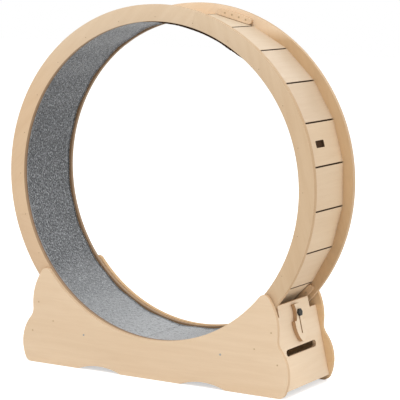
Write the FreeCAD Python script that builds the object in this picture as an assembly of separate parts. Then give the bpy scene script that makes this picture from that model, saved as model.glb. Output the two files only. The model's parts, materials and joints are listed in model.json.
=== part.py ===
import FreeCAD, Part
import math
import os

# Exercise wheel for a pet: a running wheel of two plywood rings and flat slats,
# lined with carpet, that turns on four rollers in a low plywood stand.
# Millimetres. +Z is up, -Y is the front, and the origin is on the floor under
# the middle of the wheel.

os.makedirs("parts", exist_ok=True)
Vector = FreeCAD.Vector

# ---- wheel ----
wheel_diameter = 1000.0
ring_thickness = 15.0
rim_depth = 48.0            # radial width of a ring
arc_count = 3               # lengths that make up a ring
arc_joint_gap = 0.2         # hairline where two lengths meet
track_width = 226.0         # between the inner faces of the rings
slat_count = 24
slat_thickness = 6.0
slat_drop = 28.0            # rim down to the outer corners of the slats
slat_gap = 3.0
housing_depth = 5.0         # how far a slat is let into each ring
housing_fit = 0.2
wheel_phase = 1.1           # degrees, middle of slat 0 above the +X side
lock_slat = 1               # this slat has the hole for the latch
lock_hole_width = 50.0      # along the axle direction
lock_hole_height = 20.0
lock_hole_corner = 3.0

# ---- carpet ----
carpet_thickness = 3.0
carpet_side_gap = 0.4
carpet_seam_gap = 1.0
carpet_seam_slat = 17.5     # counted in slats: the seam lies between two of them
glue_line = 0.1

# ---- splice plates behind the joints of the rings ----
first_joint_slat = 5        # a joint of the ring lies at the middle of this slat
splice_length = 116.0
splice_width = 17.0
splice_thickness = 12.0
splice_lift = 0.2           # above the outer corners of the slats
splice_corner = 7.0

# ---- stand side panels, seen from the front, right half ----
floor_gap = 64.0            # under the wheel
side_gap = 4.0              # between a ring and a side panel
panel_thickness = 12.0
seat_inset = 2.0            # seat arc inside the bore of the rings
lower_lobe_radius = 118.0
lower_lobe_x = 324.5
lower_lobe_z = 60.0
upper_lobe_radius = 165.0
upper_lobe_x = 242.0
upper_lobe_z = 180.0
foot_corner = 22.0
waist_blend = 40.0
horn_corner = 18.0
arch_x = 173.0
arch_half_width = 72.0
arch_rise = 14.0
arch_blend = 16.0

# ---- sloping end panels ----
end_thickness = 12.0
end_foot_inset = 5.8        # outer face at the floor, inside the lower lobe
end_waist_inset = 14.0      # outer face at the upper lobe's middle, inside that lobe
end_floor_gap = 17.7
end_shoulder_clearance = 11.5   # to the rim of the rings
end_tongue_clearance = 13.4     # to the slats
end_tongue_side_gap = 20.0      # to the inner face of a ring
end_tongue_corner = 3.0
end_fit = 0.1
grip_length = 180.0
grip_height = 19.0
grip_below_latch = 9.5

# ---- rails across the stand ----
rail_size = 30.0
rail_outset = 10.5          # outwards from the middle of the lower lobe
rail_z = 130.0

# ---- rollers and their axles ----
roller_radius = 16.0
roller_width = 18.0
roller_angle = 26.2         # degrees either side of straight down
roller_gap = 0.3            # to the rim
tyre_thickness = 4.5
tyre_fit = 0.02
axle_radius = 3.0
axle_running_fit = 0.05     # in the side panels
axle_hub_fit = 0.02
axle_end_gap = 0.2          # behind the face of a side panel
hub_collar_radius = 6.0
hub_side_gap = 0.3          # collar to the side panel

# ---- latch on the right end panel ----
latch_below_tongue = 8.0
latch_thickness = 12.0
latch_slide_gap = 0.3
latch_length = 108.0
latch_neck_length = 47.0
latch_tip_half = 18.0
latch_neck_half = 20.0      # where the neck meets the handle
latch_waist_half = 12.5
latch_waist_drop = 15.0
latch_handle_half = 30.0
latch_handle_side = 12.0    # straight side below the shoulder
latch_taper_half = 24.0
latch_taper_drop = 84.0
latch_toe_half = 10.5
latch_toe_drop = 103.5
latch_knob_drop = 26.0
latch_slot_length = 56.5
latch_slot_half = 2.8
latch_corner = 2.0
bolt_radius = 2.5
bolt_head_radius = 6.5
bolt_head_depth = 2.5
bolt_hole_fit = 0.1
knob_radius = 11.0
knob_height = 7.0
knob_blind_depth = 2.0      # the bolt ends this far inside the knob
knob_lobes = 6
knob_scallop_radius = 4.0
knob_scallop_depth = 1.7
knob_gap = 0.3
knob_bore_fit = 0.05

# ---- worked out ----
rim_radius = wheel_diameter / 2
bore_radius = rim_radius - rim_depth
wheel_z = rim_radius + floor_gap
centre = Vector(0, 0, wheel_z)
axis = Vector(0, -1, 0)     # turns +X towards +Z
pitch = 360.0 / slat_count
half_pitch = math.radians(pitch / 2)
slat_corner_radius = rim_radius - slat_drop
slat_outer = slat_corner_radius * math.cos(half_pitch)
slat_inner = slat_outer - slat_thickness
slat_width = 2 * slat_inner * math.tan(half_pitch) - slat_gap
track_half = track_width / 2
ring_outer_y = track_half + ring_thickness
panel_inner_y = ring_outer_y + side_gap
panel_outer_y = panel_inner_y + panel_thickness
seat_radius = bore_radius - seat_inset
carpet_outer = slat_inner - glue_line
carpet_inner = carpet_outer - carpet_thickness
splice_inner = slat_corner_radius + splice_lift
splice_middle = splice_inner + splice_width / 2
foot_x = lower_lobe_x + lower_lobe_radius - end_foot_inset
rail_x = lower_lobe_x + rail_outset
waist_x = upper_lobe_x + upper_lobe_radius - end_waist_inset
tilt = math.atan2(foot_x - waist_x, upper_lobe_z)
roller_distance = rim_radius + roller_gap + roller_radius
roller_x = roller_distance * math.sin(math.radians(roller_angle))
roller_z = wheel_z - roller_distance * math.cos(math.radians(roller_angle))
roller_y = track_half + ring_thickness / 2


def save(name, shape):
    shape.exportStep(os.path.join("parts", name + ".step"))
    print("%-28s %d solid(s) %12.1f mm3" % (name, len(shape.Solids), shape.Volume))


def on_wheel(radius, angle, y=0.0):
    turn = math.radians(angle)
    return centre + Vector(radius * math.cos(turn), y, radius * math.sin(turn))


def turned(shape, angle):
    copy = shape.copy()
    copy.rotate(centre, axis, angle)
    return copy


def mirrored(shape, normal):
    return shape.mirror(Vector(0, 0, 0), normal)


def face_of(points, arcs=()):
    # closed outline through the points; arcs maps an edge's number to a point on it
    bends = dict(arcs)
    edges = []
    for number, start in enumerate(points):
        end = points[(number + 1) % len(points)]
        if number in bends:
            edges.append(Part.Arc(start, bends[number], end).toShape())
        else:
            edges.append(Part.LineSegment(start, end).toShape())
    return Part.Face(Part.Wire(edges))


def lathe(profile, base, direction):
    # profile: (radius, height) pairs; height runs along direction from base
    points = [Vector(radius, 0, height) for radius, height in profile]
    solid = face_of(points).revolve(Vector(0, 0, 0), Vector(0, 0, 1), 360)
    solid.Placement = FreeCAD.Placement(base, FreeCAD.Rotation(Vector(0, 0, 1), direction))
    return solid


def rounded(solid, corner, radius, direction):
    # rounds the edges that run along direction through corner
    picked = []
    for edge in solid.Edges:
        if edge.Length < 1e-6 or edge.Curve.TypeId != "Part::GeomLine":
            continue
        along = edge.Curve.Direction
        if abs(abs(along.dot(direction)) - 1) > 1e-6:
            continue
        away = edge.CenterOfMass - corner
        away = away - direction * away.dot(direction)
        if away.Length < 0.01:
            picked.append(edge)
    return solid.makeFillet(radius, picked)


# ---- wheel ----

def ring_profile(near_y, far_y):
    corners = [(bore_radius, near_y), (rim_radius, near_y), (rim_radius, far_y),
               (bore_radius, far_y)]
    return face_of([centre + Vector(radius, y, 0) for radius, y in corners])


def slat_blank(grow=0.0, reach=housing_depth - housing_fit):
    half_length = track_half + reach
    box = Part.makeBox(slat_thickness + 2 * grow, 2 * half_length, slat_width + 2 * grow)
    box.translate(centre + Vector(slat_inner - grow, -half_length, -slat_width / 2 - grow))
    return box


def slat_angle(number):
    return wheel_phase + number * pitch


def lock_hole():
    hole = Part.makeBox(3 * slat_thickness, lock_hole_width, lock_hole_height)
    hole.translate(centre + Vector(slat_inner - slat_thickness, -lock_hole_width / 2,
                                   -lock_hole_height / 2))
    return hole.makeFillet(lock_hole_corner, edges_along(hole, Vector(1, 0, 0)))


def edges_along(solid, direction):
    return [edge for edge in solid.Edges
            if edge.Curve.TypeId == "Part::GeomLine"
            and abs(abs(edge.Curve.Direction.dot(direction)) - 1) < 1e-6]


def make_slats():
    for number in range(slat_count):
        slat = slat_blank()
        if number == lock_slat:
            slat = slat.cut(lock_hole())
            save("lock_slat", turned(slat, slat_angle(number)))
        else:
            save("slat_%02d" % number, turned(slat, slat_angle(number)))


def joint_angles():
    start = slat_angle(first_joint_slat)
    return [start + 360.0 * number / arc_count for number in range(arc_count)]


def make_ring(side, label):
    housings = [turned(slat_blank(housing_fit, housing_depth), slat_angle(number))
                for number in range(slat_count)]
    profile = ring_profile(side * track_half, side * ring_outer_y)
    trim = math.degrees(arc_joint_gap / 2 / rim_radius)
    sweep = 360.0 / arc_count - 2 * trim
    for number, joint in enumerate(joint_angles()):
        blank = turned(profile.revolve(centre, axis, sweep), joint + trim)
        near = [tool for tool in housings if tool.BoundBox.intersect(blank.BoundBox)]
        arc = blank.cut(Part.makeCompound(near))
        save("%s_ring_arc_%d" % (label, number + 1), Part.makeCompound(arc.Solids))


def splice_plate(joint, side):
    half = math.degrees(splice_length / 2 / splice_middle)
    near_y = side * (track_half - splice_thickness)
    corners = [(splice_inner, near_y), (splice_inner + splice_width, near_y),
               (splice_inner + splice_width, side * track_half), (splice_inner, side * track_half)]
    profile = face_of([centre + Vector(radius, y, 0) for radius, y in corners])
    plate = profile.revolve(centre, axis, 2 * half)
    plate = plate.makeFillet(splice_corner, edges_along(plate, Vector(0, 1, 0)))
    return turned(plate, joint - half)


def make_splices(side, label):
    plates = [splice_plate(joint, side) for joint in joint_angles()]
    save(label + "_splice_plates", Part.makeCompound(plates))


def polygon_prism(apothem, half_length):
    corner = apothem / math.cos(half_pitch)
    points = [on_wheel(corner, slat_angle(number + 0.5), -half_length)
              for number in range(slat_count)]
    return face_of(points).extrude(Vector(0, 2 * half_length, 0))


def make_carpet():
    half_length = track_half - carpet_side_gap
    lining = polygon_prism(carpet_outer, half_length)
    lining = lining.cut(polygon_prism(carpet_inner, half_length + 1))
    seam = Part.makeBox(4 * carpet_thickness, 2 * track_width, carpet_seam_gap)
    seam.translate(centre + Vector(carpet_inner - carpet_thickness, -track_width,
                                   -carpet_seam_gap / 2))
    save("carpet_lining", lining.cut(turned(seam, slat_angle(carpet_seam_slat))))


# ---- stand ----

def outer_crossing(first, first_radius, second, second_radius):
    # where two circles in the X-Z plane cross, the point with the larger X
    between = second - first
    distance = between.Length
    along = (first_radius ** 2 - second_radius ** 2 + distance ** 2) / (2 * distance)
    across = math.sqrt(first_radius ** 2 - along ** 2)
    unit = between * (1 / distance)
    square = Vector(unit.z, 0, -unit.x)
    foot = first + unit * along
    return max(foot + square * across, foot - square * across, key=lambda point: point.x)


def other_side(point):
    return Vector(-point.x, point.y, point.z)


def side_panel_blank():
    lower = Vector(lower_lobe_x, 0, lower_lobe_z)
    upper = Vector(upper_lobe_x, 0, upper_lobe_z)
    heel = Vector(lower_lobe_x + math.sqrt(lower_lobe_radius ** 2 - lower_lobe_z ** 2), 0, 0)
    waist = outer_crossing(lower, lower_lobe_radius, upper, upper_lobe_radius)
    tip = outer_crossing(upper, upper_lobe_radius, centre, seat_radius)
    arch_in = Vector(arch_x - arch_half_width, 0, 0)
    arch_out = Vector(arch_x + arch_half_width, 0, 0)
    arch_top = Vector(arch_x, 0, arch_rise)
    lower_bulge = lower + Vector(lower_lobe_radius, 0, 0)
    upper_bulge = upper + Vector(upper_lobe_radius, 0, 0)
    seat_bottom = centre - Vector(0, 0, seat_radius)
    right = [arch_in, arch_out, heel, waist, tip]
    left = [other_side(point) for point in reversed(right)]
    bends = {0: arch_top, 2: lower_bulge, 3: upper_bulge, 4: seat_bottom,
             5: other_side(upper_bulge), 6: other_side(lower_bulge), 8: other_side(arch_top)}
    panel = face_of(right + left, bends).extrude(Vector(0, panel_thickness, 0))
    roundings = [(heel, foot_corner), (waist, waist_blend), (tip, horn_corner),
                 (arch_in, arch_blend), (arch_out, arch_blend)]
    for corner, radius in roundings:
        panel = rounded(panel, corner, radius, Vector(0, 1, 0))
        panel = rounded(panel, other_side(corner), radius, Vector(0, 1, 0))
    return panel


def board_point(inset, height):
    # a point of the right end panel: inset behind its outer face, height along it
    return Vector(foot_x - height * math.sin(tilt) - inset * math.cos(tilt), 0,
                  height * math.cos(tilt) - inset * math.sin(tilt))


def height_at(inset, distance):
    # height along the board where it first comes within distance of the wheel's centre
    start = board_point(inset, 0) - centre
    up = Vector(-math.sin(tilt), 0, math.cos(tilt))
    along = start.dot(up)
    return -along - math.sqrt(along ** 2 - start.dot(start) + distance ** 2)


def on_board(shape):
    # from the board's own frame (X out of its face, Y across, Z up it) to the stand
    copy = shape.copy()
    copy.rotate(Vector(0, 0, 0), axis, math.degrees(tilt))
    copy.translate(Vector(foot_x, 0, 0))
    return copy


shoulder_height = height_at(end_thickness, rim_radius + end_shoulder_clearance)
tongue_height = height_at(end_thickness, slat_corner_radius + end_tongue_clearance)
latch_top = tongue_height - latch_below_tongue
knob_height_on_board = latch_top - latch_knob_drop
grip_centre = latch_top - latch_length - grip_below_latch - grip_height / 2


def slot_tool(half_width, low, high, depth, start=0.0):
    # slot with round ends, cut along X; low and high are the centres of its ends
    ends = [Vector(start, -half_width, low), Vector(start, -half_width, high),
            Vector(start, half_width, high), Vector(start, half_width, low)]
    bends = {1: Vector(start, 0, high + half_width), 3: Vector(start, 0, low - half_width)}
    return face_of(ends, bends).extrude(Vector(depth, 0, 0))


def grip_hole():
    radius = grip_height / 2
    slot = slot_tool(radius, -grip_length / 2 + radius, grip_length / 2 - radius,
                     3 * end_thickness, -2 * end_thickness)
    slot.rotate(Vector(0, 0, 0), Vector(1, 0, 0), 90)
    slot.translate(Vector(0, 0, grip_centre))
    return slot


def both_sides(shapes):
    return shapes + [mirrored(shape, Vector(1, 0, 0)) for shape in shapes]


def make_side_panels():
    blank = side_panel_blank()
    blank.translate(Vector(0, -panel_outer_y, 0))
    axle_hole = rod(axle_radius + axle_running_fit, -2 * panel_outer_y, 0)
    front = blank.cut(Part.makeCompound(both_sides([axle_hole])))
    save("stand_front_panel", front)
    save("stand_rear_panel", mirrored(front, Vector(0, 1, 0)))


def end_panel_blank():
    half = panel_inner_y - end_fit
    tongue = track_half - end_tongue_side_gap
    low = end_floor_gap / math.cos(tilt)
    outline = [(-half, low), (half, low), (half, shoulder_height), (tongue, shoulder_height),
               (tongue, tongue_height), (-tongue, tongue_height), (-tongue, shoulder_height),
               (-half, shoulder_height)]
    board = face_of([Vector(-end_thickness, y, z) for y, z in outline])
    board = board.extrude(Vector(end_thickness, 0, 0))
    for side in (-1, 1):
        corner = Vector(0, side * tongue, tongue_height)
        board = rounded(board, corner, end_tongue_corner, Vector(1, 0, 0))
    return board.cut(grip_hole())


def make_end_panels():
    board = end_panel_blank()
    save("left_end_panel", mirrored(on_board(board), Vector(1, 0, 0)))
    bolt_hole = Part.makeCylinder(bolt_radius + bolt_hole_fit, 3 * end_thickness,
                                  Vector(-2 * end_thickness, 0, knob_height_on_board),
                                  Vector(1, 0, 0))
    save("right_end_panel", on_board(board.cut(bolt_hole)))


def make_rails():
    half = panel_inner_y - end_fit
    rail = Part.makeBox(rail_size, 2 * half, rail_size)
    rail.translate(Vector(rail_x - rail_size / 2, -half, rail_z - rail_size / 2))
    save("right_rail", rail)
    save("left_rail", mirrored(rail, Vector(1, 0, 0)))


# ---- rollers ----

def rod(radius, start_y, end_y):
    return Part.makeCylinder(radius, end_y - start_y, Vector(roller_x, start_y, roller_z),
                             Vector(0, 1, 0))


def tyre(side):
    half = roller_width / 2
    inner = roller_radius - tyre_thickness
    profile = [(inner, -half), (roller_radius, -half), (roller_radius, half), (inner, half)]
    return lathe(profile, Vector(roller_x, side * roller_y, roller_z), Vector(0, side, 0))


def hub(side):
    # the collar faces the side panel
    half = roller_width / 2
    bore = axle_radius + axle_hub_fit
    seat = roller_radius - tyre_thickness - tyre_fit
    collar = panel_inner_y - hub_side_gap - roller_y
    profile = [(bore, -half), (seat, -half), (seat, half), (hub_collar_radius, half),
               (hub_collar_radius, collar), (bore, collar)]
    return lathe(profile, Vector(roller_x, side * roller_y, roller_z), Vector(0, side, 0))


def make_rollers():
    reach = panel_outer_y - axle_end_gap
    pieces = {"axle": rod(axle_radius, -reach, reach),
              "roller_hubs": Part.makeCompound([hub(-1), hub(1)]),
              "roller_tyres": Part.makeCompound([tyre(-1), tyre(1)])}
    for name, shape in pieces.items():
        save("right_" + name, shape)
        save("left_" + name, mirrored(shape, Vector(1, 0, 0)))


# ---- latch ----

def latch_blank():
    # half outline from the top edge down to the toe, then its mirror image
    half = [(latch_tip_half, 0), (latch_neck_half, -latch_neck_length),
            (latch_handle_half, -latch_neck_length),
            (latch_handle_half, -latch_neck_length - latch_handle_side),
            (latch_toe_half, -latch_toe_drop)]
    points = [Vector(latch_slide_gap, y, z) for y, z in half]
    points += [Vector(latch_slide_gap, -y, z) for y, z in reversed(half)]
    bends = {0: (latch_waist_half, -latch_waist_drop), 3: (latch_taper_half, -latch_taper_drop),
             4: (0, -latch_length), 5: (-latch_taper_half, -latch_taper_drop),
             8: (-latch_waist_half, -latch_waist_drop)}
    arcs = {edge: Vector(latch_slide_gap, y, z) for edge, (y, z) in bends.items()}
    return face_of(points, arcs).extrude(Vector(latch_thickness, 0, 0))


def make_latch():
    plate = latch_blank()
    plate = plate.makeFillet(latch_corner, edges_along(plate, Vector(1, 0, 0)))
    slot = slot_tool(latch_slot_half, -latch_knob_drop - latch_slot_length, -latch_knob_drop,
                     3 * latch_thickness, -latch_thickness)
    plate = plate.cut(slot)
    plate.translate(Vector(0, 0, latch_top))
    save("latch_plate", on_board(plate))


def on_bolt(profile):
    # turned piece on the latch bolt; heights are measured out of the board's face
    return on_board(lathe(profile, Vector(0, 0, knob_height_on_board), Vector(1, 0, 0)))


def make_bolt_and_knob():
    inside = -end_thickness
    knob_low = latch_slide_gap + latch_thickness + knob_gap
    knob_high = knob_low + knob_height
    save("latch_bolt", on_bolt([(0, inside - bolt_head_depth),
                                (bolt_head_radius, inside - bolt_head_depth),
                                (bolt_head_radius, inside), (bolt_radius, inside),
                                (bolt_radius, knob_high - knob_blind_depth),
                                (0, knob_high - knob_blind_depth)]))
    save("latch_knob", knob(knob_low, knob_high))


def knob(low, high):
    base = Vector(low, 0, knob_height_on_board)
    out = Vector(1, 0, 0)
    body = Part.makeCylinder(knob_radius, high - low, base, out)
    reach = knob_radius + knob_scallop_radius - knob_scallop_depth
    for number in range(knob_lobes):
        turn = 2 * math.pi * (number + 0.5) / knob_lobes
        offset = Vector(0, reach * math.cos(turn), reach * math.sin(turn))
        body = body.cut(Part.makeCylinder(knob_scallop_radius, 3 * (high - low),
                                          base + offset - out * (high - low), out))
    bore = Part.makeCylinder(bolt_radius + knob_bore_fit, 3 * (high - low),
                             base - out * (high - low), out)
    return on_board(body.cut(bore))


def main():
    make_ring(-1, "front")
    make_ring(1, "rear")
    make_slats()
    make_splices(-1, "front")
    make_splices(1, "rear")
    make_carpet()
    make_side_panels()
    make_end_panels()
    make_rails()
    make_rollers()
    make_latch()
    make_bolt_and_knob()
    travel = height_at(-latch_slide_gap, slat_corner_radius) - latch_top
    print("wheel centre z %.3f, tilt %.3f deg, latch clear of the slats for %.2f mm"
          % (wheel_z, math.degrees(tilt), travel))
    print("rollers at x %.3f z %.3f, latch bolt at height %.3f"
          % (roller_x, roller_z, knob_height_on_board))


main()
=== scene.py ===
import json
import math
import bmesh
import bpy
from mathutils import Matrix, Vector, noise


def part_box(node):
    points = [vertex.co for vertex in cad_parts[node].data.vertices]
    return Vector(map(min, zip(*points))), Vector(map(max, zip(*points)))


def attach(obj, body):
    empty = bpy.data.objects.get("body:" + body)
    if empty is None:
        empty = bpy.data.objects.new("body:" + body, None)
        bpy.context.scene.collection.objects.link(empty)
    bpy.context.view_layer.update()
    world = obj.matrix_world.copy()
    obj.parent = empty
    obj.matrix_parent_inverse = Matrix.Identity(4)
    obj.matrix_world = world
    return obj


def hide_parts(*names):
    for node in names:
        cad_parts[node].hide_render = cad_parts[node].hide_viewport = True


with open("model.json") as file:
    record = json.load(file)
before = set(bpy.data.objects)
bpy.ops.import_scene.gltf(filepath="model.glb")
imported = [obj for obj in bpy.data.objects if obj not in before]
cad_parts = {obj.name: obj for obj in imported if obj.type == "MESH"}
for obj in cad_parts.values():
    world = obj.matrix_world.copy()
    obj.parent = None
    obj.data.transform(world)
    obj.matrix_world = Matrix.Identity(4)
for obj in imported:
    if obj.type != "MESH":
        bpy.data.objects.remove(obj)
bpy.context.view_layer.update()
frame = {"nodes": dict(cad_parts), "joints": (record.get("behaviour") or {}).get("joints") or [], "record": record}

nodes = frame["nodes"]
joints = {joint["name"]: joint for joint in frame["joints"]}
mm = 0.001
creaseAngle = math.radians(30)  # edges sharper than this are eased
wheelCentre = Vector(joints["wheel_spin"]["pos_m"])
across = Vector(joints["wheel_spin"]["axis"])


class Wire:
    # a socket that takes part in sums
    def __init__(self, shader, socket):
        self.shader, self.socket = shader, socket

    def __add__(self, other):
        return self.shader.sum("ADD", self, other)

    def __radd__(self, other):
        return self.shader.sum("ADD", other, self)

    def __sub__(self, other):
        return self.shader.sum("SUBTRACT", self, other)

    def __rsub__(self, other):
        return self.shader.sum("SUBTRACT", other, self)

    def __mul__(self, other):
        return self.shader.sum("MULTIPLY", self, other)

    def __rmul__(self, other):
        return self.shader.sum("MULTIPLY", other, self)

    def __truediv__(self, other):
        return self.shader.sum("DIVIDE", self, other)

    def __rtruediv__(self, other):
        return self.shader.sum("DIVIDE", other, self)


class NodeTree:
    # the nodes of a material or of the world
    def __init__(self, tree):
        self.tree = tree

    def node(self, kind, settings=None, inputs=None, output=0):
        made = self.tree.nodes.new("ShaderNode" + kind)
        for name, value in (settings or {}).items():
            setattr(made, name, value)
        for name, value in (inputs or {}).items():
            if isinstance(value, Wire):
                self.tree.links.new(value.socket, made.inputs[name])
            else:
                made.inputs[name].default_value = value
        return Wire(self, made.outputs[output])

    def sum(self, operation, first, second):
        return self.node("Math", {"operation": operation}, {0: first, 1: second})

    def size(self, value):
        return self.sum("ABSOLUTE", value, 0)

    def spread(self, value, low, high, newLow=0.0, newHigh=1.0):
        # clamped change of range
        return self.node("MapRange", {"clamp": True},
                         {0: value, 1: low, 2: high, 3: newLow, 4: newHigh})


class Shader(NodeTree):
    def __init__(self, name, colour, **fixed):
        self.material = bpy.data.materials.new(name)
        self.material.use_nodes = True
        super().__init__(self.material.node_tree)
        self.surface = self.tree.nodes["Principled BSDF"]
        self.surface.inputs["Base Color"].default_value = (*colour, 1)
        for socket, value in fixed.items():
            self.surface.inputs[socket.replace("_", " ")].default_value = value

    def parts(self, vector):
        return [self.node("SeparateXYZ", None, {0: vector}, number) for number in range(3)]

    def place(self):
        return self.node("TexCoord", output="Object")

    def mapped(self, vector, offset=(0, 0, 0), turn=(0, 0, 0), scale=(1, 1, 1)):
        return self.node("Mapping", None, {"Vector": vector, "Location": offset,
                                           "Rotation": turn, "Scale": scale})

    def noise(self, vector, scale, detail=3.0, rough=0.5, distortion=0.0):
        return self.node("TexNoise", None, {"Vector": vector, "Scale": scale, "Detail": detail,
                                            "Roughness": rough, "Distortion": distortion})

    def mix(self, amount, first, second, blend="MIX"):
        # colours; sockets 6 and 7 are the colour inputs, output 2 the colour
        return self.node("Mix", {"data_type": "RGBA", "blend_type": blend},
                         {0: amount, 6: self.colour(first), 7: self.colour(second)}, 2)

    def colour(self, value):
        return value if isinstance(value, Wire) else (*value, 1)

    def tinted(self, amount, colour, tint):
        return self.mix(amount, colour, self.mix(1.0, colour, tint, "MULTIPLY"))

    def bump(self, height, strength, distance):
        return self.node("Bump", None, {"Height": height, "Strength": strength,
                                        "Distance": distance})

    def link(self, **inputs):
        for name, wire in inputs.items():
            self.tree.links.new(wire.socket, self.surface.inputs[name.replace("_", " ")])
        return self.material


def rgb(red, green, blue):
    # a screen colour, 0 to 255, as the linear colour that a shader takes
    def linear(value):
        value /= 255
        return value / 12.92 if value <= 0.04045 else ((value + 0.055) / 1.055) ** 2.4
    return linear(red), linear(green), linear(blue)


# birch plywood, with a figured face and layered edges
plywood = {
    "face": rgb(219, 193, 161),
    "light": rgb(230, 208, 179),
    "dark": rgb(199, 167, 130),
    "edge": rgb(206, 175, 136),
    "edgeDark": rgb(158, 118, 80),
    "grainLength": 5.0,        # features a metre along the grain
    "grainWidth": 62.0,        # and across it
    "poreLength": 24.0,
    "poreWidth": 700.0,
    "broadLength": 1.6,
    "broadWidth": 7.0,
    "broadShare": 0.30,
    "streakShare": 0.20,
    "poreShare": 0.16,
    "plyShare": 0.55,
    "gritShare": 0.25,
    "edgeShare": 0.60,         # how much the cut edges show
    "plyThickness": 1.45 * mm,
    "roughness": 0.50,
    "specular": 0.40,
}


def plywoodMaterial(name, middle, face, grain, seed, tone=(1, 1, 1), values=plywood, shade=None):
    # face is the direction through the board, and grain that of its grain
    shader = Shader(name, values["face"], Specular_IOR_Level=values["specular"])
    side = Vector(face).cross(Vector(grain)).normalized()
    frameTurn = Matrix((Vector(grain), side, Vector(face))).to_3x3()
    turn = frameTurn.to_euler("XYZ")
    offset = -(frameTurn @ Vector(middle))
    local = shader.mapped(shader.place(), offset, turn)
    shifted = shader.mapped(local, (seed * 3.7, seed * 1.3, seed * 0.9),
                            scale=(values["grainLength"], values["grainWidth"],
                                   values["grainWidth"]))
    figure = shader.noise(shifted, 1.0, 4.0, 0.55, 0.6)
    broadAt = shader.mapped(local, (seed, seed, 0),
                            scale=(values["broadLength"], values["broadWidth"],
                                   values["broadWidth"]))
    broad = shader.noise(broadAt, 1.0, 2.0)
    poresAt = shader.mapped(local, (seed, 0, seed),
                            scale=(values["poreLength"], values["poreWidth"],
                                   values["poreWidth"]))
    pores = shader.noise(poresAt, 1.0, 2.0, 0.6)
    fine = shader.spread(pores, 0.56, 0.72)
    streaks = shader.spread(figure, 0.36, 0.68)
    wide = shader.spread(broad, 0.35, 0.68)
    surface = shader.mix(wide * values["broadShare"], values["face"], values["light"])
    surface = shader.mix(streaks * values["streakShare"], surface, values["dark"])
    surface = shader.mix(fine * values["poreShare"], surface, values["dark"])
    # cut edges show the layers
    through = shader.parts(local)[2] / values["plyThickness"]
    layer = shader.sum("PINGPONG", shader.size(through), 1.0)
    ply = shader.spread(layer, 0.42, 0.58)
    grit = shader.noise(shader.mapped(local, scale=(900, 900, 120)), 1.0, 2.0)
    edge = shader.mix(ply * values["plyShare"] + grit * values["gritShare"], values["edge"],
                      values["edgeDark"])
    normal = shader.node("TexCoord", output="Normal")
    facing = shader.node("VectorMath", {"operation": "DOT_PRODUCT"},
                         {0: normal, 1: Vector(face)}, 1)
    onEdge = shader.spread(shader.size(facing), 0.75, 0.45)
    colour = shader.mix(onEdge * values["edgeShare"], surface, edge)
    colour = shader.mix(1.0, colour, tone, "MULTIPLY")
    if shade:
        colour = shade(shader, colour)
    rough = values["roughness"] + streaks * 0.08 + onEdge * 0.16
    height = figure * 0.5 + fine * 0.4 + onEdge * ply * 0.6
    return shader.link(Base_Color=colour, Roughness=rough,
                       Normal=shader.bump(height, 0.12, 0.4 * mm))


def toneOf(seed, share):
    # a steady small difference in colour between two boards
    shift = noise.noise(Vector((seed * 5.31, 2.7, seed * 0.77))) * 2
    warm = noise.noise(Vector((1.9, seed * 3.17, seed * 1.31))) * 2
    return (1 + share * shift, 1 + share * (shift - 0.25 * warm),
            1 + share * (shift - 0.8 * warm))


def steelMaterial(name, colour, roughness):
    shader = Shader(name, colour, Metallic=1.0)
    brushed = shader.noise(shader.mapped(shader.place(), scale=(2600, 300, 2600)), 1.0, 3.0)
    spots = shader.spread(shader.noise(shader.place(), 240, 3.0), 0.45, 0.75)
    tint = shader.mix(spots * 0.3, colour, tuple(0.55 * part for part in colour))
    return shader.link(Base_Color=tint, Roughness=roughness + brushed * 0.18,
                       Normal=shader.bump(brushed, 0.06, 0.1 * mm))


def finish(piece, body, material, replaced=()):
    bpy.context.scene.collection.objects.link(piece)
    piece.data.materials.append(material)
    if replaced:
        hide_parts(*replaced)
    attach(piece, body)


def meshFrom(bm, name, smooth=True):
    bm.normal_update()
    for face in bm.faces:
        face.smooth = smooth
    mesh = bpy.data.meshes.new(name)
    bm.to_mesh(mesh)
    bm.free()
    return bpy.data.objects.new(name, mesh)


def only(kind, geometry):
    return [item for item in geometry if isinstance(item, kind)]


def markSharp(bm, angle):
    for line in bm.edges:
        line.smooth = line.calc_face_angle(0) < angle


def softenEdges(piece, width):
    bevel = piece.modifiers.new("easedEdges", "BEVEL")
    bevel.width, bevel.segments = width, 2
    bevel.limit_method, bevel.angle_limit = "ANGLE", creaseAngle
    bevel.harden_normals = True
    bevel.use_clamp_overlap = True


def bodyOf(nodeName):
    for body, members in frame["record"]["behaviour"]["bodies"].items():
        if nodeName in members:
            return body


def boardFrom(nodeName, material, edge):
    # a copy of a CAD board with merged faces and eased edges
    bm = bmesh.new()
    bm.from_mesh(nodes[nodeName].data)
    bmesh.ops.remove_doubles(bm, verts=bm.verts, dist=0.002 * mm)
    bmesh.ops.dissolve_limit(bm, angle_limit=math.radians(0.4), verts=bm.verts, edges=bm.edges)
    markSharp(bm, creaseAngle)
    piece = meshFrom(bm, nodeName + "_wood")
    finish(piece, bodyOf(nodeName), material, [nodeName])
    softenEdges(piece, edge)
    return piece


def onWheel(radius, degrees, y=0.0):
    turn = math.radians(degrees)
    return wheelCentre + Vector((radius * math.cos(turn), y, radius * math.sin(turn)))


def turnedOut(place, outwards):
    # puts what was made on the floor plane at a place, with its top outwards
    turn = Vector(outwards).to_track_quat("Z", "Y").to_matrix().to_4x4()
    return Matrix.Translation(place) @ turn


# the photograph's viewing angle, in metres, degrees and a lens in millimetres
cameraView = {
    "place": (2.7097, -4.572321, 1.241872),
    "azimuth": 29.982,
    "elevation": 7.935,
    "roll": 0.986,
    "lens": 167.6615,
    "sensor": 36,
}


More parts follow.
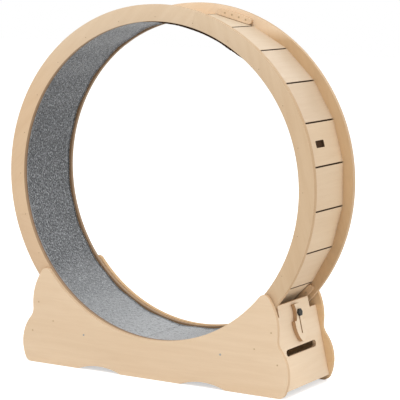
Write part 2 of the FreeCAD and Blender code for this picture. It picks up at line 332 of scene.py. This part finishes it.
def addCamera(values=cameraView):
    azimuth, elevation = math.radians(values["azimuth"]), math.radians(values["elevation"])
    roll = math.radians(values["roll"])
    back = Vector((math.sin(azimuth) * math.cos(elevation),
                   -math.cos(azimuth) * math.cos(elevation), math.sin(elevation)))
    right = Vector((math.cos(azimuth), math.sin(azimuth), 0))
    top = back.cross(right)
    rolledRight = right * math.cos(roll) + top * math.sin(roll)
    rolledTop = top * math.cos(roll) - right * math.sin(roll)
    data = bpy.data.cameras.new("photoCamera")
    data.lens, data.sensor_width = values["lens"], values["sensor"]
    data.clip_end = 60
    camera = bpy.data.objects.new("photoCamera", data)
    camera.matrix_world = Matrix.Translation(values["place"]) @ Matrix(
        (rolledRight, rolledTop, back)).transposed().to_4x4()
    bpy.context.scene.collection.objects.link(camera)
    bpy.context.scene.camera = camera


addCamera()
print("camera placed")


# a pale room with three soft lamps
studio = {
    "floorColour": (0.86, 0.86, 0.86),
    "floorSize": 14,
    "floorDrop": 0.4 * mm,
    "worldStrength": 0.74,
    "floorGlow": 0.56,         # added for the camera, so that shadows stay pale
    "lamps": {                 # place, target, size, power
        "topLamp": ((0.3, -2.0, 4.2), (0, 0, 0.3), 1.8, 64.0),
        "sideLamp": ((4.3, 0.9, 1.4), (0.3, 0, 0.5), 1.6, 24.0),
        "backLamp": ((0.6, 4.2, 2.6), (0, 0, 0.2), 2.0, 48.0),
    },
}


def addLamp(name, place, target, size, power):
    data = bpy.data.lights.new(name, "AREA")
    data.shape, data.size, data.energy = "DISK", size, power
    lamp = bpy.data.objects.new(name, data)
    lamp.location = place
    lamp.rotation_euler = (Vector(target) - Vector(place)).to_track_quat("-Z", "Y").to_euler()
    bpy.context.scene.collection.objects.link(lamp)


def floorMaterial(values=studio):
    shader = Shader("paleFloor", values["floorColour"], Roughness=0.9, Specular_IOR_Level=0.1)
    # it glows a little for the camera alone
    lit = Wire(shader, shader.surface.outputs[0])
    glow = shader.node("Emission", None, {"Strength": values["floorGlow"]})
    glowing = shader.node("AddShader", None, {0: lit, 1: glow})
    seen = shader.node("LightPath", output="Is Camera Ray")
    shown = shader.node("MixShader", None, {0: seen, 1: lit, 2: glowing})
    shader.tree.links.new(shown.socket, shader.tree.nodes["Material Output"].inputs[0])
    return shader.material


def addFloor(values=studio):
    bm = bmesh.new()
    bmesh.ops.create_grid(bm, x_segments=1, y_segments=1, size=values["floorSize"])
    bmesh.ops.translate(bm, verts=bm.verts, vec=(0, 0, -values["floorDrop"]))
    floor = meshFrom(bm, "studioFloor")
    floor.data.materials.append(floorMaterial())
    bpy.context.scene.collection.objects.link(floor)


def addWorld(values=studio):
    # white for the camera and for reflections, a plain level for the object
    world = bpy.data.worlds.new("studioWorld")
    world.use_nodes = True
    bpy.context.scene.world = world
    sky = NodeTree(world.node_tree)
    seen = sky.sum("MAXIMUM", sky.node("LightPath", output="Is Camera Ray"),
                   sky.node("LightPath", output="Is Glossy Ray"))
    level = sky.spread(seen, 0, 1, values["worldStrength"], 1.0)
    background = sky.tree.nodes["Background"]
    background.inputs["Color"].default_value = (1, 1, 1, 1)
    sky.tree.links.new(level.socket, background.inputs["Strength"])


def addStudio(values=studio):
    addFloor()
    addWorld()
    for name, (place, target, size, power) in values["lamps"].items():
        addLamp(name, place, target, size, power)
    bpy.context.scene.view_settings.view_transform = "Standard"


addStudio()
print("studio ready")


# two rings of three lengths, with their joints at the splice plates
rings = {
    "bore": 452 * mm,
    "rim": 500 * mm,
    "innerFace": 113 * mm,
    "outerFace": 128 * mm,
    "firstJoint": 76.1,        # degrees
    "jointGap": 0.2 * mm,
    "edge": 1.0 * mm,
    "steps": 96,               # facets along a length
    "creases": 40,             # degrees
    "lipShade": (0.40, 0.34, 0.28),    # in the corner between bore and carpet
    "lipRadius": 459 * mm,
    "lipFade": 3 * mm,
    "lipDepth": 9 * mm,
    "boreShade": (0.66, 0.63, 0.61),
    "boreFrom": 0.9 * mm,      # above the bore, where its shade starts
    "boreTo": 0.4 * mm,
    # each front arc's own tone low on the wheel; the third, round the right-hand side, is darker as painted shade
    "frontTone": ((1.04, 0.98, 0.92), (1.02, 0.96, 0.91), (0.92, 0.87, 0.80)),
    # the front ring's tone over the top, paler as painted light
    "frontLitTop": ((1.02, 1.03, 1.05), (1.02, 0.96, 0.91), (0.97, 0.97, 0.97)),
    "rearTone": ((1, 0.98, 0.95), (1, 0.98, 0.95), (0.99, 0.97, 0.94)),
    "topLitFrom": 200 * mm,      # above the wheel's centre, where the painted light over the top starts
    "topLitTo": 430 * mm,
    "channelShade": (0.84, 0.77, 0.66),  # painted shade on the faces towards the slats, round the sides
    "channelLight": (1.20, 1.27, 1.39),  # and painted light on them over the top
    "channelFrom": 400 * mm,
    "channelTo": 434 * mm,
    "channelDepth": 1.2 * mm,
    "nearFace": 0.5 * mm,      # how close to a face counts as on it
}


def ringShading(shader, colour, low, high, values=rings):
    # painted shade: the bore is darkened, most where it meets the carpet; between the rings the faces towards the
    # slats get painted shade round the sides and painted light over the top
    bore, inner, near = values["bore"], values["innerFace"], values["nearFace"]
    x, y, z = shader.parts(shader.mapped(shader.place(), -wheelCentre))
    radius = shader.node("VectorMath", {"operation": "LENGTH"},
                         {0: shader.node("CombineXYZ", None, {0: x, 2: z})}, 1)
    inBore = shader.spread(radius, bore + values["boreFrom"], bore + values["boreTo"])
    onLip = shader.spread(radius, values["lipRadius"] + values["lipFade"], values["lipRadius"])
    depth = shader.size(y)
    inside = shader.spread(depth, inner + values["lipDepth"], inner + near)
    # painted light: the front ring pales towards the top
    tone = shader.mix(shader.spread(z, values["topLitFrom"], values["topLitTo"]), low, high)
    colour = shader.mix(1.0, colour, tone, "MULTIPLY")
    # painted light on the faces towards the slats over the top, painted shade round the sides
    over = shader.spread(z, values["channelFrom"], values["channelTo"])
    onChannel = shader.spread(depth, inner + values["channelDepth"], inner + near)
    channel = shader.mix(over, values["channelShade"], values["channelLight"])
    colour = shader.tinted(onChannel, colour, channel)
    colour = shader.tinted(inBore, colour, values["boreShade"])
    return shader.tinted(inside * onLip, colour, values["lipShade"])


def addRingArc(side, label, number, values=rings):
    # a square section with eased edges, swept round the wheel
    low, high = sorted((side * values["innerFace"], side * values["outerFace"]))
    trim = math.degrees(values["jointGap"] / 2 / values["rim"])
    start = values["firstJoint"] + 120 * number + trim
    sweep = 120 - 2 * trim
    bm = bmesh.new()
    section = [bm.verts.new((radius, y, 0)) for radius, y in
               ((values["bore"], low), (values["rim"], low),
                (values["rim"], high), (values["bore"], high))]
    bm.faces.new(section)
    bmesh.ops.bevel(bm, geom=list(bm.verts), offset=values["edge"], affect="VERTICES",
                    segments=3, profile=0.5, material=-1)
    bmesh.ops.rotate(bm, verts=bm.verts, matrix=Matrix.Rotation(math.radians(-start), 3, "Y"))
    bmesh.ops.spin(bm, geom=bm.verts[:] + bm.edges[:] + bm.faces[:], cent=(0, 0, 0),
                   axis=(0, -1, 0), angle=math.radians(sweep), steps=values["steps"],
                   use_merge=False)
    bmesh.ops.translate(bm, verts=bm.verts, vec=wheelCentre)
    bmesh.ops.recalc_face_normals(bm, faces=bm.faces)
    markSharp(bm, math.radians(values["creases"]))
    middle = math.radians(start + sweep / 2)
    grain = (-math.sin(middle), 0, math.cos(middle))
    seed = number + (4.3 if side > 0 else 0.3)
    tone = values[label + "Tone"][number]
    top = values["frontLitTop"][number] if label == "front" else tone

    def shade(shader, colour):
        return ringShading(shader, colour, tone, top)

    material = plywoodMaterial("%sRingPly%d" % (label, number + 1),
                               (0, (low + high) / 2, wheelCentre.z), across, grain, seed,
                               shade=shade)
    piece = meshFrom(bm, "%s_ring_arc_%d_wood" % (label, number + 1))
    finish(piece, "wheel", material,
           ["%s_ring_arc_%d" % (label, number + 1)])


for ringSide, ringLabel in ((-1, "front"), (1, "rear")):
    for arcNumber in range(3):
        addRingArc(ringSide, ringLabel, arcNumber)
print("rings made")


# flat slats housed in the rings, and the splice plates over the joints
slats = {
    "phase": 1.1,              # degrees, of the first slat
    "count": 24,
    "lock": 1,
    "middleRadius": 465 * mm,
    "edge": 0.5 * mm,
    "toneShare": 0.03,
    # slats 2 to 5, up the right-hand side: painted shade low down, painted light towards the top
    "litTones": {2: (0.90, 0.91, 0.94), 3: (0.91, 0.94, 1.0), 4: (0.95, 1.0, 1.08),
              5: (0.99, 1.06, 1.15)},
    "plateInner": 472.2 * mm,  # inner radius of the splice plates
    "plateCorner": 7 * mm,
    "plateTurn": 479.2 * mm,   # where their rounded corners begin
    "plateRest": 469.2 * mm,   # their lower edge, at the middle of a slat
    "plateMiddle": 107 * mm,
    "plateEdge": 0.8 * mm,
    "plateTone": (1.12, 1.13, 1.17),
    "plateShade": (0.86, 0.79, 0.69),    # painted shade, deeper in colour on the lower plates
    "shadeFrom": 500 * mm,
    "shadeTo": 400 * mm,
    # the slats' cut edges are dark brown as painted shade in the gaps between slats
    "wood": dict(plywood, edge=rgb(92, 66, 42), edgeDark=rgb(58, 40, 26), edgeShare=0.95,
                 roughness=0.55, specular=0.26, grainWidth=110.0, streakShare=0.14),
}


def slatAngle(number, values=slats):
    return values["phase"] + 360 / values["count"] * number


def addSlats(values=slats):
    for number in range(values["count"]):
        angle = slatAngle(number)
        name = "lock_slat" if number == values["lock"] else "slat_%02d" % number
        out = onWheel(1, angle) - wheelCentre
        material = plywoodMaterial("slatPly%02d" % number, onWheel(values["middleRadius"], angle),
                                   out, across, number + 20.5,
                                   values["litTones"].get(
                                       number, toneOf(number + 31, values["toneShare"])),
                                   values["wood"])
        boardFrom(name, material, values["edge"])


def settleOnSlats(piece, values=slats):
    # brings the lower edges of the plates down to the flat of the slat under each
    for vert in piece.data.vertices:
        x, y, z = vert.co - wheelCentre
        radius, angle = math.hypot(x, z), math.degrees(math.atan2(z, x))
        fromMiddle = (angle - rings["firstJoint"] + 60) % 120 - 60
        flat = values["plateRest"] / math.cos(math.radians(fromMiddle))
        share = min(1, max(0, (values["plateTurn"] - radius) / values["plateCorner"]))
        lowered = radius - share * max(0, values["plateInner"] - flat)
        vert.co = onWheel(lowered, angle, y)


def plateShading(shader, colour, values=slats):
    # painted shade on the plates low on the wheel
    low = shader.spread(shader.parts(shader.place())[2], values["shadeFrom"], values["shadeTo"])
    return shader.tinted(low, colour, values["plateShade"])


def addSplicePlates(values=slats):
    for label, side in (("front", -1), ("rear", 1)):
        material = plywoodMaterial(label + "SplicePly",
                                   (0, side * values["plateMiddle"], wheelCentre.z),
                                   across, (0, 0, 1), 51 + side, values["plateTone"],
                                   shade=plateShading)
        settleOnSlats(boardFrom(label + "_splice_plates", material, values["plateEdge"]))


addSlats()
addSplicePlates()
print("slats made")


# one strip of grey carpet, laid on the slats
carpet = {
    "radius": 458.8 * mm,      # face of the pile at the middle of a slat
    "cornerLift": 2.4 * mm,    # how far it stays out of the corners between slats
    "freeDrop": 4 * mm,        # hanging this far, it follows the slats no more
    "thickness": 2.9 * mm,
    "halfWidth": 112.4 * mm,
    "trim": 0.999,             # its laid width as a share of the flat one
    "fray": 0.5 * mm,          # raggedness of its cut edges
    "seam": 263.6,             # degrees, where its ends meet
    "seamGap": 0.04,           # degrees
    "sag": ((48.5, 0.0), (53.0, 8.5), (57.0, 11.4), (60.5, 12.8), (65.0, 11.6), (75.0, 11.0),
            (86.0, 8.6), (95.0, 4.2), (102.0, 1.6), (112.0, 0.0)),    # degrees, millimetres
    "curl": 4.2 * mm,          # its edges turn up
    "curlWidth": 16 * mm,
    "lengthSteps": 620,
    "widthSteps": 50,
    "pile": 0.55 * mm,
    "tufts": 160,              # a metre, uneven places in the pile
    "loops": 330.0,            # a metre
    "loopShare": 0.45,
    "clumps": 170,
    "darkShare": 0.72,
    "lightShare": 0.85,
    "rows": (34, 170, 1),
    "rowTurn": 61,             # degrees from its length
    "rowShare": 0.45,
    "rowHeight": 2.6,
    "patches": (130, 70, 1),
    "patchShare": 0.68,
    "litFrom": 1.04,          # metres from the middle of its length
    "litTo": 1.42,
    "litShare": 0.70,
    "bandFrom": 18 * mm,       # from the edge, where a paler band begins
    "bandTo": 10 * mm,
    "bandShare": 0.14,
    "rimFrom": 5 * mm,
    "rimTo": 2.5 * mm,
    "rimShare": 0.85,
    "grey": rgb(127, 130, 133),
    "pale": rgb(206, 209, 212),
    "deep": rgb(34, 35, 37),
    "backing": rgb(68, 49, 34),
    "weave": 700,              # of the backing, a metre
    "weaveShade": 1.5,
}


def carpetMaterial(values=carpet):
    shader = Shader("greyLoopCarpet", values["grey"], Specular_IOR_Level=0.12,
                    Sheen_Weight=1.0, Sheen_Roughness=0.35)
    uv = shader.node("UVMap", {"uv_map": "cloth"})
    loopsAt = shader.mapped(uv, scale=(values["loops"], values["loops"], 1))
    loops = shader.node("TexVoronoi", {"feature": "F1"}, {"Vector": loopsAt, "Scale": 1.0})
    tint = shader.node("TexVoronoi", {"feature": "F1"}, {"Vector": loopsAt, "Scale": 1.0},
                       "Color")
    fleck = shader.node("SeparateColor", None, {0: tint}, 0)
    clumps = shader.noise(shader.mapped(uv, scale=(values["clumps"], values["clumps"], 1)),
                          1.0, 2.0, 0.7)
    dark = shader.spread(clumps, 0.38, 0.60, 1.0, 0.0)
    light = shader.spread(fleck, 0.45, 0.95)
    colour = shader.mix(dark * values["darkShare"], values["grey"], values["deep"])
    colour = shader.mix(light * (1 - dark) * values["lightShare"], colour, values["pale"])
    colour = shader.mix(shader.spread(loops, 0.35, 0.8) * values["loopShare"], colour,
                        values["deep"])
    turned = shader.mapped(uv, turn=(0, 0, math.radians(-values["rowTurn"])))
    rows = shader.noise(shader.mapped(turned, scale=values["rows"]), 1.0, 3.0, 0.7)
    colour = shader.mix(shader.spread(rows, 0.48, 0.34) * values["rowShare"], colour,
                        values["deep"])
    # painted light: paler on both sides of the seam, low in the wheel
    litBottom = shader.spread(shader.size(shader.parts(uv)[0]), values["litFrom"], values["litTo"])
    patches = shader.noise(shader.mapped(uv, scale=values["patches"]), 1.0, 3.0, 0.75)
    colour = shader.mix(litBottom * values["litShare"], colour, values["pale"])
    colour = shader.mix(shader.spread(patches, 0.50, 0.36) * litBottom * values["patchShare"],
                        colour, values["deep"])
    # a paler band along each edge, and a dark rim at the cut edge, partly its cut edge and partly painted shade
    # against the rings
    fromEdge = values["halfWidth"] - shader.size(shader.parts(uv)[1])
    band = shader.spread(fromEdge, values["bandFrom"], values["bandTo"])
    rim = shader.spread(fromEdge, values["rimFrom"], values["rimTo"])
    colour = shader.mix(band * values["bandShare"], colour, values["pale"])
    colour = shader.mix(rim * values["rimShare"], colour, values["deep"])
    height = (1 - loops) * 0.8 + clumps * 0.6 + rows * values["rowHeight"]
    return shader.link(Base_Color=colour, Roughness=0.90 + clumps * 0.06,
                       Normal=shader.bump(height, 0.75, 1.2 * mm))


def backingMaterial(values=carpet):
    # the woven back is dark, and its dark brown also stands in as painted shade where it shows through the slat
    # gaps
    shader = Shader("wovenBacking", values["backing"], Specular_IOR_Level=0.1)
    uv = shader.node("UVMap", {"uv_map": "cloth"})
    weave = shader.noise(shader.mapped(uv, scale=(values["weave"], values["weave"], 1)), 1.0, 2.0)
    thread = tuple(values["weaveShade"] * part for part in values["backing"])
    colour = shader.mix(weave, values["backing"], thread)
    return shader.link(Base_Color=colour, Roughness=0.86 + weave * 0.1)


def carpetDrop(degrees, points=carpet["sag"]):
    # how far it hangs off the top slats
    for (start, low), (end, high) in zip(points, points[1:]):
        if start <= degrees % 360 < end:
            share = (1 - math.cos(math.pi * (degrees % 360 - start) / (end - start))) / 2
            return (low + (high - low) * share) * mm
    return 0.0


def carpetRadius(degrees, values=carpet):
    fromSlat = (degrees - slats["phase"]) / (360 / slats["count"])
    lift = values["cornerLift"] * (1 - math.cos(2 * math.pi * fromSlat)) / 2
    drop = carpetDrop(degrees)
    return values["radius"] + lift * (1 - min(1, drop / values["freeDrop"])) - drop


def pileRadius(degrees, sideways, values=carpet):
    # the face of the pile, whose edges turn up
    fromEdge = max(0, abs(sideways) - values["halfWidth"] + values["curlWidth"])
    return carpetRadius(degrees) - values["curl"] * (fromEdge / values["curlWidth"]) ** 2


def addCarpet(values=carpet):
    bm = bmesh.new()
    bmesh.ops.create_grid(bm, x_segments=values["lengthSteps"], y_segments=values["widthSteps"],
                          size=0.5)
    cloth = bm.loops.layers.uv.new("cloth")
    length = 2 * math.pi * values["radius"]
    for face in bm.faces:
        for loop in face.loops:
            loop[cloth].uv = (loop.vert.co.x * length, loop.vert.co.y * 2 * values["halfWidth"])
    span = 360 - values["seamGap"]
    for vert in bm.verts:
        degrees = values["seam"] + values["seamGap"] / 2 + span * (vert.co.x + 0.5)
        along, sideways = vert.co.x * length, vert.co.y * 2 * values["halfWidth"]
        tuft = Vector((along * values["tufts"], sideways * values["tufts"], 3.1))
        height = values["pile"] * noise.noise(tuft)
        onCut = abs(vert.co.y) > 0.495
        ragged = values["fray"] * noise.noise(Vector((along * 90, 7.7, 0))) if onCut else 0
        vert.co = onWheel(pileRadius(degrees, sideways) - height, degrees,
                          sideways * values["trim"] + ragged)
    bmesh.ops.recalc_face_normals(bm, faces=bm.faces)
    middle = bm.faces[len(bm.faces) // 2]
    if middle.normal.dot(wheelCentre - middle.calc_center_median()) < 0:
        bmesh.ops.reverse_faces(bm, faces=bm.faces)  # the pile faces the middle of the wheel
    bmesh.ops.solidify(bm, geom=bm.faces[:], thickness=values["thickness"])
    bm.normal_update()
    for face in bm.faces:
        x, y, z = face.calc_center_median() - wheelCentre
        pileHere = pileRadius(math.degrees(math.atan2(z, x)), y)
        isBack = math.hypot(x, z) > pileHere + values["thickness"] / 2
        face.material_index = 1 if isBack or abs(face.normal.y) > 0.7 else 0
    piece = meshFrom(bm, "grey_carpet")
    finish(piece, "wheel", carpetMaterial(), ["carpet_lining"])
    piece.data.materials.append(backingMaterial())


addCarpet()
print("carpet laid")


# scalloped side panels, sloping end panels and rails
stand = {
    "edge": 0.9 * mm,
    "thickness": 12 * mm,
    "outerFace": 144 * mm,
    "footX": 436.7 * mm,       # where the slope of an end panel meets the floor
    "railX": 335 * mm,
    "railHeight": 130 * mm,
    "railEdge": 1.5 * mm,
    "railTone": (0.97, 0.95, 0.9),
    "frontTone": (1.16, 1.16, 1.17),
    # the rear panel deeper and warmer as painted shade on its inner face
    "rearTone": (1.14, 1.07, 0.92),
    # the end panels and the latch paler as painted light from the right
    "endLitTone": (1.18, 1.22, 1.28),
    # the latch plate's cut edges are darker as painted shade
    "latchWood": dict(plywood, edge=rgb(182, 140, 96), edgeDark=rgb(124, 88, 56),
                      edgeShare=0.85),
}


def boardAxes(side):
    # outward and upward directions of an end panel; the knob turns about the right one's
    slope = Vector(joints["knob_turn"]["axis"])
    return Vector((side * slope.x, 0, slope.z)), Vector((-side * slope.z, 0, slope.x))


def addStand(values=stand):
    for label, side in (("front", -1), ("rear", 1)):
        depth = values["outerFace"] - values["thickness"] / 2
        material = plywoodMaterial(label + "PanelPly", (0, side * depth, 0), across, (1, 0, 0),
                                   61.4 + side, values[label + "Tone"])
        boardFrom("stand_%s_panel" % label, material, values["edge"])
    for label, side in (("right", 1), ("left", -1)):
        out = boardAxes(side)[0]
        middle = Vector((side * values["footX"], 0, 0)) - out * values["thickness"] / 2
        material = plywoodMaterial(label + "EndPly", middle, out, across, 71.8 + side,
                                   values["endLitTone"])
        boardFrom(label + "_end_panel", material, values["edge"])
        rail = plywoodMaterial(label + "RailWood",
                               (side * values["railX"], 0, values["railHeight"]), (0, 0, 1),
                               across, 81 + side, values["railTone"])
        boardFrom(label + "_rail", rail, values["railEdge"])


addStand()
print("stand made")


def addLatch():
    low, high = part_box("latch_plate")
    material = plywoodMaterial("latchPly", (low + high) / 2, boardAxes(1)[0], across, 91.3,
                               stand["endLitTone"], stand["latchWood"])
    boardFrom("latch_plate", material, stand["edge"])


# a lobed plastic knob, its middle closed by a pressed steel disc
knob = {
    "radius": 11 * mm,
    "valley": 9.5 * mm,
    "lobes": 6,
    "height": 7 * mm,
    "edge": 1.5 * mm,
    "creases": 50,             # degrees
    "recessFrom": 3.2 * mm,    # in from its outline
    "recessWall": 0.4 * mm,
    "recessDepth": 0.9 * mm,
    "discRadius": 3.6 * mm,
    "discThickness": 0.8 * mm,
    "discEdge": 0.35 * mm,
    "discSunk": 1.0 * mm,      # its underside below the top of the knob
    "boltHeight": 220.121 * mm,
    "plateFace": 12.6 * mm,    # underside of the knob above the end panel's face
    "black": rgb(30, 30, 29),
    "cap": rgb(82, 80, 72),
}


def knobPlace(lift, values=knob):
    # from the floor plane to a height above the underside of the knob
    out, rise = boardAxes(1)
    place = (Vector((stand["footX"], 0, 0)) + rise * values["boltHeight"]
             + out * (values["plateFace"] + lift))
    return Matrix.Translation(place) @ Matrix((rise.cross(out), rise, out)).transposed().to_4x4()


def knobMaterial(values=knob):
    shader = Shader("knobPlastic", values["black"], Specular_IOR_Level=0.5)
    grain = shader.noise(shader.place(), 1800, 3.0)
    wear = shader.spread(shader.noise(shader.place(), 130, 3.0), 0.5, 0.75)
    colour = shader.mix(wear * 0.25, values["black"], values["cap"])
    return shader.link(Base_Color=colour, Roughness=0.42 + grain * 0.2,
                       Normal=shader.bump(grain, 0.15, 0.2 * mm))


def addKnob(values=knob):
    bm = bmesh.new()
    bmesh.ops.create_circle(bm, cap_ends=True, segments=96, radius=1.0)
    for vert in bm.verts:
        angle = math.atan2(vert.co.y, vert.co.x)
        wave = (1 + math.cos(values["lobes"] * angle)) / 2
        vert.co *= values["valley"] + (values["radius"] - values["valley"]) * wave ** 0.7
    raised = bmesh.ops.extrude_face_region(bm, geom=bm.faces[:])["geom"]
    bmesh.ops.translate(bm, verts=only(bmesh.types.BMVert, raised), vec=(0, 0, values["height"]))
    outlines = [line for line in bm.edges if any(len(face.verts) > 4 for face in line.link_faces)]
    bmesh.ops.bevel(bm, geom=outlines, offset=values["edge"], affect="EDGES", segments=4,
                    profile=0.5, material=-1, clamp_overlap=True)
    top = [face for face in bm.faces
           if len(face.verts) > 4 and face.calc_center_median().z > values["height"] / 2]
    bmesh.ops.inset_region(bm, faces=top, thickness=values["recessFrom"], depth=0)
    bmesh.ops.inset_region(bm, faces=top, thickness=values["recessWall"],
                           depth=-values["recessDepth"])
    bmesh.ops.recalc_face_normals(bm, faces=bm.faces)
    markSharp(bm, math.radians(values["creases"]))
    bmesh.ops.transform(bm, matrix=knobPlace(0), verts=bm.verts)
    finish(meshFrom(bm, "latch_knob_cap"), "knob", knobMaterial(),
           ["latch_knob"])


def addKnobDisc(values=knob):
    bm = bmesh.new()
    bmesh.ops.create_circle(bm, cap_ends=True, segments=40, radius=values["discRadius"])
    raised = bmesh.ops.extrude_face_region(bm, geom=bm.faces[:])["geom"]
    bmesh.ops.translate(bm, verts=only(bmesh.types.BMVert, raised),
                        vec=(0, 0, values["discThickness"]))
    outline = [line for line in bm.edges if len(line.link_faces) == 2
               and line.calc_face_angle(0) > 1
               and line.verts[0].co.z > values["discThickness"] / 2]
    bmesh.ops.bevel(bm, geom=outline, offset=values["discEdge"], affect="EDGES", segments=3,
                    profile=0.5, material=-1)
    bmesh.ops.recalc_face_normals(bm, faces=bm.faces)
    bmesh.ops.transform(bm, matrix=knobPlace(values["height"] - values["discSunk"]),
                        verts=bm.verts)
    finish(meshFrom(bm, "latch_knob_disc"), "knob",
           steelMaterial("knobDisc", values["cap"], 0.38))


addLatch()
addKnob()
addKnobDisc()
print("latch made")


# rollers, axles and bolt keep the shapes they have in the frame
running = {
    "rubber": rgb(44, 44, 46),
    "scuff": (0.09, 0.085, 0.08),
    "nylon": rgb(226, 222, 212),
    "nylonDark": rgb(196, 190, 176),
    "steel": rgb(176, 176, 174),
}


def dressNode(nodeName, material):
    node = nodes[nodeName]
    node.data.materials.clear()
    node.data.materials.append(material)


def rubberMaterial(values=running):
    shader = Shader("rollerRubber", values["rubber"], Specular_IOR_Level=0.3)
    scuffs = shader.noise(shader.place(), 420, 4.0, 0.6)
    colour = shader.mix(shader.spread(scuffs, 0.5, 0.8) * 0.4, values["rubber"], values["scuff"])
    return shader.link(Base_Color=colour, Roughness=0.7 + scuffs * 0.2,
                       Normal=shader.bump(scuffs, 0.2, 0.3 * mm))


def nylonMaterial(values=running):
    shader = Shader("hubNylon", values["nylon"], Specular_IOR_Level=0.4)
    cast = shader.noise(shader.place(), 300, 3.0)
    colour = shader.mix(shader.spread(cast, 0.4, 0.7) * 0.2, values["nylon"],
                        values["nylonDark"])
    return shader.link(Base_Color=colour, Roughness=0.4 + cast * 0.15,
                       Normal=shader.bump(cast, 0.05, 0.2 * mm))


def dressRollers(values=running):
    rubber, nylon = rubberMaterial(), nylonMaterial()
    steel = steelMaterial("axleSteel", values["steel"], 0.34)
    for side in ("right", "left"):
        dressNode(side + "_roller_tyres", rubber)
        dressNode(side + "_roller_hubs", nylon)
        dressNode(side + "_axle", steel)
    dressNode("latch_bolt", steelMaterial("boltSteel", values["steel"], 0.3))


dressRollers()
print("rollers dressed")


# screws of the stand and the splice plates, and a nail at each end of a slat
fasteners = {
    "screwRadius": 2.6 * mm,
    "screwProud": 0.12 * mm,
    "endScrews": (98 * mm, 188 * mm),  # up the slope of an end panel
    "spliceRadius": 2.8 * mm,
    "spliceCircle": 480.7 * mm,
    "spliceFace": 101 * mm,
    "splicePlaces": (-1.5, -0.5, 0.5, 1.5),
    "splicePitch": 2.79,       # degrees between two screws
    "spliceShift": -0.5,       # degrees, along the plate
    "nailRadius": 1.2 * mm,
    "nailCircle": 465 * mm,
    "nailHeight": 0.3 * mm,
    "nailSunk": 0.18 * mm,
    "zinc": rgb(206, 186, 154),
    "dark": rgb(146, 120, 94),
    "painted": rgb(222, 196, 160),
}


def screwHead(bm, place, outwards, radius, values=fasteners):
    # countersunk head with a cross recess, made with a radius of 1 beside what bm holds
    grid = bmesh.ops.create_grid(bm, x_segments=3, y_segments=3, size=0.36)["verts"]
    ring = bmesh.ops.create_circle(bm, segments=12, radius=1.0)["verts"]
    bmesh.ops.rotate(bm, verts=ring, matrix=Matrix.Rotation(math.radians(45), 3, "Z"))
    own, ringSet = set(grid), set(ring)
    outline = [line for line in bm.edges if line.verts[0] in own and len(line.link_faces) == 1]
    circle = [line for line in bm.edges if ringSet.issuperset(line.verts)]
    bmesh.ops.bridge_loops(bm, edges=outline + circle)
    cross = []
    for face in {one for vert in grid for one in vert.link_faces}:
        middle = face.calc_center_median()
        if abs(middle.x) + abs(middle.y) < 0.3 and all(vert in own for vert in face.verts):
            cross.append(face)
    sunk = bmesh.ops.extrude_face_region(bm, geom=cross)["geom"]
    sunkVerts = only(bmesh.types.BMVert, sunk)
    bmesh.ops.delete(bm, geom=cross, context="FACES_ONLY")
    bmesh.ops.translate(bm, verts=sunkVerts, vec=(0, 0, -0.45))
    bmesh.ops.scale(bm, verts=sunkVerts, vec=(0.6, 0.6, 1))
    skirt = bmesh.ops.extrude_edge_only(bm, edges=circle)["geom"]
    skirtVerts = only(bmesh.types.BMVert, skirt)
    bmesh.ops.translate(bm, verts=skirtVerts, vec=(0, 0, -0.35))
    bmesh.ops.contextual_create(bm, geom=only(bmesh.types.BMEdge, skirt))
    verts = list(own | ringSet | set(sunkVerts) | set(skirtVerts))
    bmesh.ops.scale(bm, verts=verts, vec=(radius, radius, radius))
    seat = Vector(place) + Vector(outwards) * values["screwProud"]
    bmesh.ops.transform(bm, matrix=turnedOut(seat, outwards), verts=verts)


def nailHead(bm, place, outwards, radius, values=fasteners):
    made = bmesh.ops.create_circle(bm, cap_ends=True, segments=12, radius=radius)["verts"]
    faces = list({one for vert in made for one in vert.link_faces})
    raised = bmesh.ops.extrude_face_region(bm, geom=faces)["geom"]
    top = only(bmesh.types.BMVert, raised)
    bmesh.ops.translate(bm, verts=top, vec=(0, 0, values["nailHeight"]))
    bmesh.ops.scale(bm, verts=top, vec=(0.85, 0.85, 1))
    seat = Vector(place) - Vector(outwards) * values["nailSunk"]
    bmesh.ops.transform(bm, matrix=turnedOut(seat, outwards), verts=made + top)


def addStandScrews(values=fasteners):
    painted = steelMaterial("standScrewSteel", values["painted"], 0.6)
    screws = bmesh.new()
    for side in (-1, 1):
        outer = side * stand["outerFace"]
        for end in (-1, 1):
            out, rise = boardAxes(end)
            foot = Vector((end * stand["footX"], outer, 0)) - out * stand["thickness"] / 2
            places = [foot + rise * height for height in values["endScrews"]]
            places.append((end * stand["railX"], outer, stand["railHeight"]))
            for place in places:
                screwHead(screws, place, (0, side, 0), values["screwRadius"])
    bmesh.ops.recalc_face_normals(screws, faces=screws.faces)
    finish(meshFrom(screws, "stand_screw_heads", False), "stand", painted)


def addWheelFasteners(values=fasteners):
    zinc = steelMaterial("zincScrews", values["zinc"], 0.42)
    dark = steelMaterial("nailSteel", values["dark"], 0.5)
    spliceScrews, nails = bmesh.new(), bmesh.new()
    for side in (-1, 1):
        for joint in range(3):
            for place in values["splicePlaces"]:
                angle = (rings["firstJoint"] + 120 * joint + values["spliceShift"]
                         + place * values["splicePitch"])
                seat = onWheel(values["spliceCircle"], angle, side * values["spliceFace"])
                screwHead(spliceScrews, seat, (0, -side, 0), values["spliceRadius"])
        for number in range(slats["count"]):
            seat = onWheel(values["nailCircle"], slatAngle(number), side * rings["outerFace"])
            nailHead(nails, seat, (0, side, 0), values["nailRadius"])
    bmesh.ops.recalc_face_normals(spliceScrews, faces=spliceScrews.faces)
    finish(meshFrom(spliceScrews, "splice_screw_heads", False), "wheel", zinc)
    finish(meshFrom(nails, "ring_nails", False), "wheel", dark)


addStandScrews()
addWheelFasteners()
print("fasteners made")
